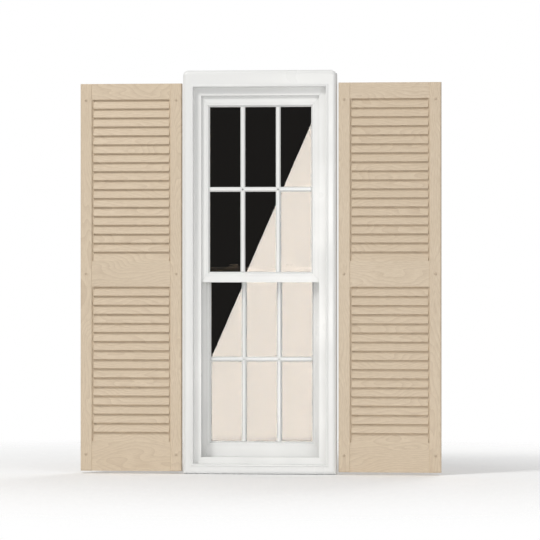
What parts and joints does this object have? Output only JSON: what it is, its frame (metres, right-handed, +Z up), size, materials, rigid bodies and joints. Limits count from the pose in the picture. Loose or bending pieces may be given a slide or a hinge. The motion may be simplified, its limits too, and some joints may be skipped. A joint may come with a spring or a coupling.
{
  "type": "louvred shutters with framed window",
  "caption": "Pair of fixed moulded louvred shutters either side of a cased double-hung window with a grille over each sash and turning sash locks.",
  "frame": {"origin": "centre of the window's nailing fin screw pattern, on the wall's outer face", "axes": "+X to the viewer's right, +Y into the wall, +Z up; the front faces -Y"},
  "size_m": [1.303, 0.1185, 1.451],
  "materials": {
    "shutter_vinyl": "moulded wood grain, satin",
    "screw_paint": "satin",
    "white_vinyl": "smooth satin",
    "pane_glass": "clear, warm grey solar-control tint",
    "spacer_metal": "mill",
    "seal_rubber": "matt",
    "pile_strip": "short pile",
    "balance_metal": "satin",
    "plated_steel": "zinc plated",
    "white_nylon": "moulded",
    "lock_paint": "satin"
  },
  "bodies": {
    "wall_set": {"left_shutter": "shutter_vinyl", "right_shutter": "shutter_vinyl", "left_shutter_screws": "screw_paint", "right_shutter_screws": "screw_paint", "casing_head": "white_vinyl", "casing_sill": "white_vinyl", "casing_left_leg": "white_vinyl", "casing_right_leg": "white_vinyl", "main_frame": "white_vinyl", "upper_balance_tubes": "balance_metal", "lower_balance_tubes": "balance_metal", "balance_screws": "plated_steel"},
    "upper_sash": {"upper_sash_frame": "white_vinyl", "upper_outer_pane": "pane_glass", "upper_inner_pane": "pane_glass", "upper_pane_spacer": "spacer_metal", "upper_setting_blocks": "seal_rubber", "upper_glazing_bead": "white_vinyl", "upper_grille": "white_vinyl", "upper_side_pile": "pile_strip", "meeting_rail_pile": "pile_strip", "upper_balance_rods": "plated_steel", "upper_balance_brackets": "white_nylon", "left_keeper": "lock_paint", "right_keeper": "lock_paint", "keeper_screws": "plated_steel"},
    "lower_sash": {"lower_sash_frame": "white_vinyl", "lower_outer_pane": "pane_glass", "lower_inner_pane": "pane_glass", "lower_pane_spacer": "spacer_metal", "lower_setting_blocks": "seal_rubber", "lower_glazing_bead": "white_vinyl", "lower_grille": "white_vinyl", "lower_side_pile": "pile_strip", "sill_bulb_seal": "seal_rubber", "lower_balance_rods": "plated_steel", "lower_balance_brackets": "white_nylon", "left_lock_base": "lock_paint", "right_lock_base": "lock_paint", "lock_screws": "plated_steel"},
    "left_lock": {"left_lock_cam": "lock_paint"},
    "right_lock": {"right_lock_cam": "lock_paint"}
  },
  "joints": [
    {"name": "lower_sash_slide", "type": "slide", "parent": "wall_set", "child": "lower_sash", "axis": [0, 0, 1], "range_m": [0, 0.58]},
    {"name": "upper_sash_slide", "type": "slide", "parent": "wall_set", "child": "upper_sash", "axis": [0, 0, -1], "range_m": [0, 0.58]},
    {"name": "left_lock_turn", "type": "hinge", "parent": "lower_sash", "child": "left_lock", "pos_m": [-0.095, 0.045, 0.0185], "axis": [0, 0, 1], "range_deg": [0, 80]},
    {"name": "right_lock_turn", "type": "hinge", "parent": "lower_sash", "child": "right_lock", "pos_m": [0.095, 0.045, 0.0185], "axis": [0, 0, -1], "range_deg": [0, 80]}
  ]
}
